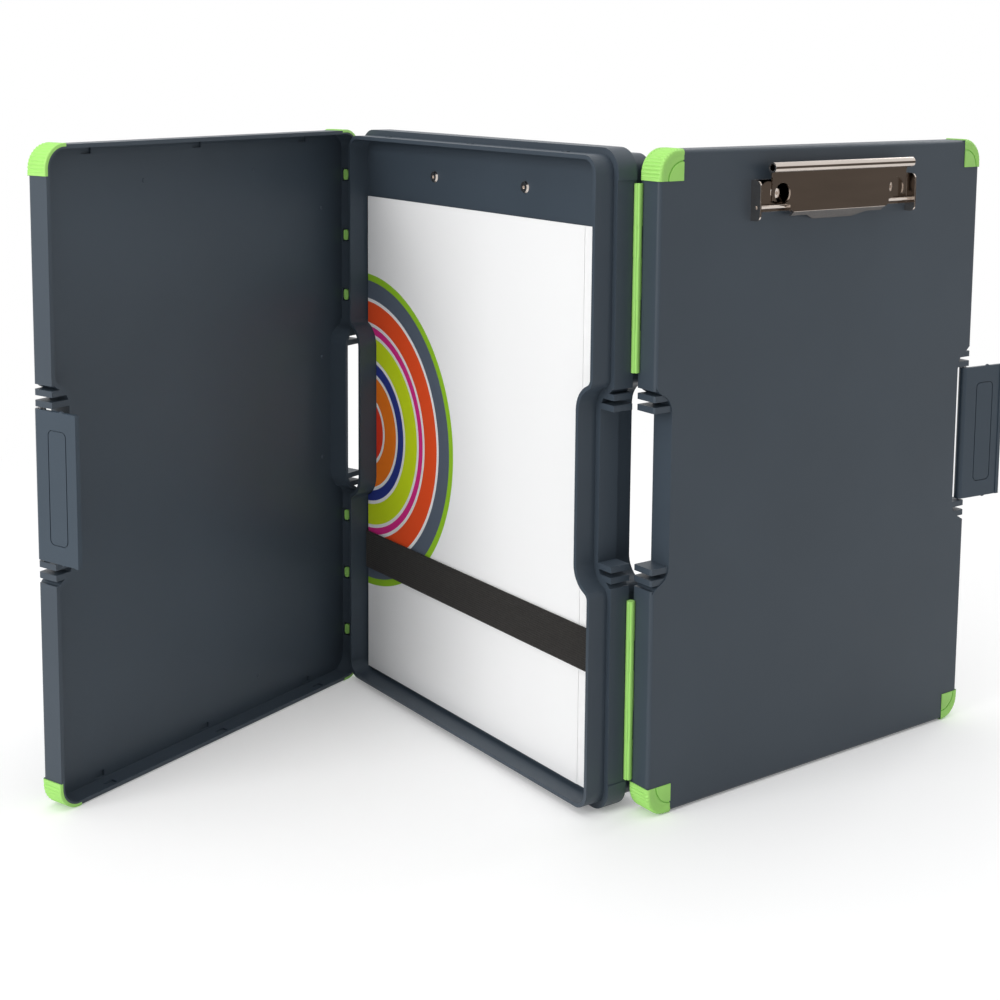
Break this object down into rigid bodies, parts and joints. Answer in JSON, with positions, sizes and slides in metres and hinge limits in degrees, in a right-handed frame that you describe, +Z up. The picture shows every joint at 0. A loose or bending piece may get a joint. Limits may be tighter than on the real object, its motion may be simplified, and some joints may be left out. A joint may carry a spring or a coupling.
{
  "type": "two-sided storage clipboard",
  "caption": "Folding two-sided storage clipboard with a hinged lid on each face, swinging latches, metal paper clips and an elastic strap.",
  "frame": {"origin": "centre of the middle frame's bottom face", "axes": "+Z up the case, -Y out of the front compartment, +X towards the right lid's hinge"},
  "size_m": [0.2684, 0.4888, 0.325],
  "materials": {
    "case_plastic": "satin moulded",
    "latch_plastic": "satin moulded",
    "lime_rubber": "ribbed",
    "lime_plastic": "satin moulded",
    "chrome_steel": "polished",
    "woven_elastic": "woven",
    "sheets": "matte"
  },
  "bodies": {
    "middle": {"middle_frame": "case_plastic", "divider_panel": "case_plastic", "left_frame_knuckles_upper": "lime_plastic", "left_frame_knuckles_lower": "lime_plastic", "left_hinge_pin_upper": "chrome_steel", "left_hinge_pin_lower": "chrome_steel", "right_frame_knuckles_upper": "lime_plastic", "right_frame_knuckles_lower": "lime_plastic", "right_hinge_pin_upper": "chrome_steel", "right_hinge_pin_lower": "chrome_steel", "inner_clip_base": "chrome_steel", "inner_clip_rod": "chrome_steel", "inner_clip_spring": "chrome_steel", "inner_clip_rivets": "chrome_steel", "elastic_strap": "woven_elastic", "strap_keepers": "case_plastic", "strap_rivets": "chrome_steel", "paper_pile": "sheets", "front_sheet": "sheets"},
    "left_lid": {"left_lid": "case_plastic", "left_bumper_hinge_top": "lime_rubber", "left_bumper_hinge_bottom": "lime_rubber", "left_bumper_free_top": "lime_rubber", "left_bumper_free_bottom": "lime_rubber", "left_lid_knuckles_upper": "lime_plastic", "left_lid_knuckles_lower": "lime_plastic", "left_latch_pin": "chrome_steel"},
    "right_lid": {"right_lid": "case_plastic", "right_bumper_hinge_top": "lime_rubber", "right_bumper_hinge_bottom": "lime_rubber", "right_bumper_free_top": "lime_rubber", "right_bumper_free_bottom": "lime_rubber", "right_lid_knuckles_upper": "lime_plastic", "right_lid_knuckles_lower": "lime_plastic", "right_latch_pin": "chrome_steel", "outer_clip_base": "chrome_steel", "outer_clip_rod": "chrome_steel", "outer_clip_spring": "chrome_steel", "outer_clip_rivets": "chrome_steel", "outer_clip_washers": "chrome_steel"},
    "left_latch": {"left_latch": "latch_plastic"},
    "right_latch": {"right_latch": "latch_plastic"},
    "outer_lever": {"outer_clip_lever": "chrome_steel"},
    "inner_lever": {"inner_clip_lever": "chrome_steel"}
  },
  "joints": [
    {"name": "left_lid_hinge", "type": "hinge", "parent": "middle", "child": "left_lid", "pos_m": [-0.116, -0.0057, 0.1625], "axis": [0, 0, -1], "range_deg": [-70, 110]},
    {"name": "right_lid_hinge", "type": "hinge", "parent": "middle", "child": "right_lid", "pos_m": [0.116, 0.0057, 0.1625], "axis": [0, 0, -1], "range_deg": [-90, 90]},
    {"name": "left_latch_pivot", "type": "hinge", "parent": "left_lid", "child": "left_latch", "pos_m": [-0.04768, -0.2241, 0.1625], "axis": [0, 0, -1], "range_deg": [0, 120]},
    {"name": "right_latch_pivot", "type": "hinge", "parent": "right_lid", "child": "right_latch", "pos_m": [0.1265, 0.2343, 0.1625], "axis": [0, 0, -1], "range_deg": [-96, 24]},
    {"name": "outer_lever_pivot", "type": "hinge", "parent": "right_lid", "child": "outer_lever", "pos_m": [0.1324, 0.1217, 0.2955], "axis": [0, -1, 0], "range_deg": [0, 14], "stiffness_Nm_per_rad": 0.6, "springref_deg": -17.19},
    {"name": "inner_lever_pivot", "type": "hinge", "parent": "middle", "child": "inner_lever", "pos_m": [0, 0.0004, 0.2955], "axis": [1, 0, 0], "range_deg": [0, 14], "stiffness_Nm_per_rad": 0.6, "springref_deg": -17.19}
  ]
}
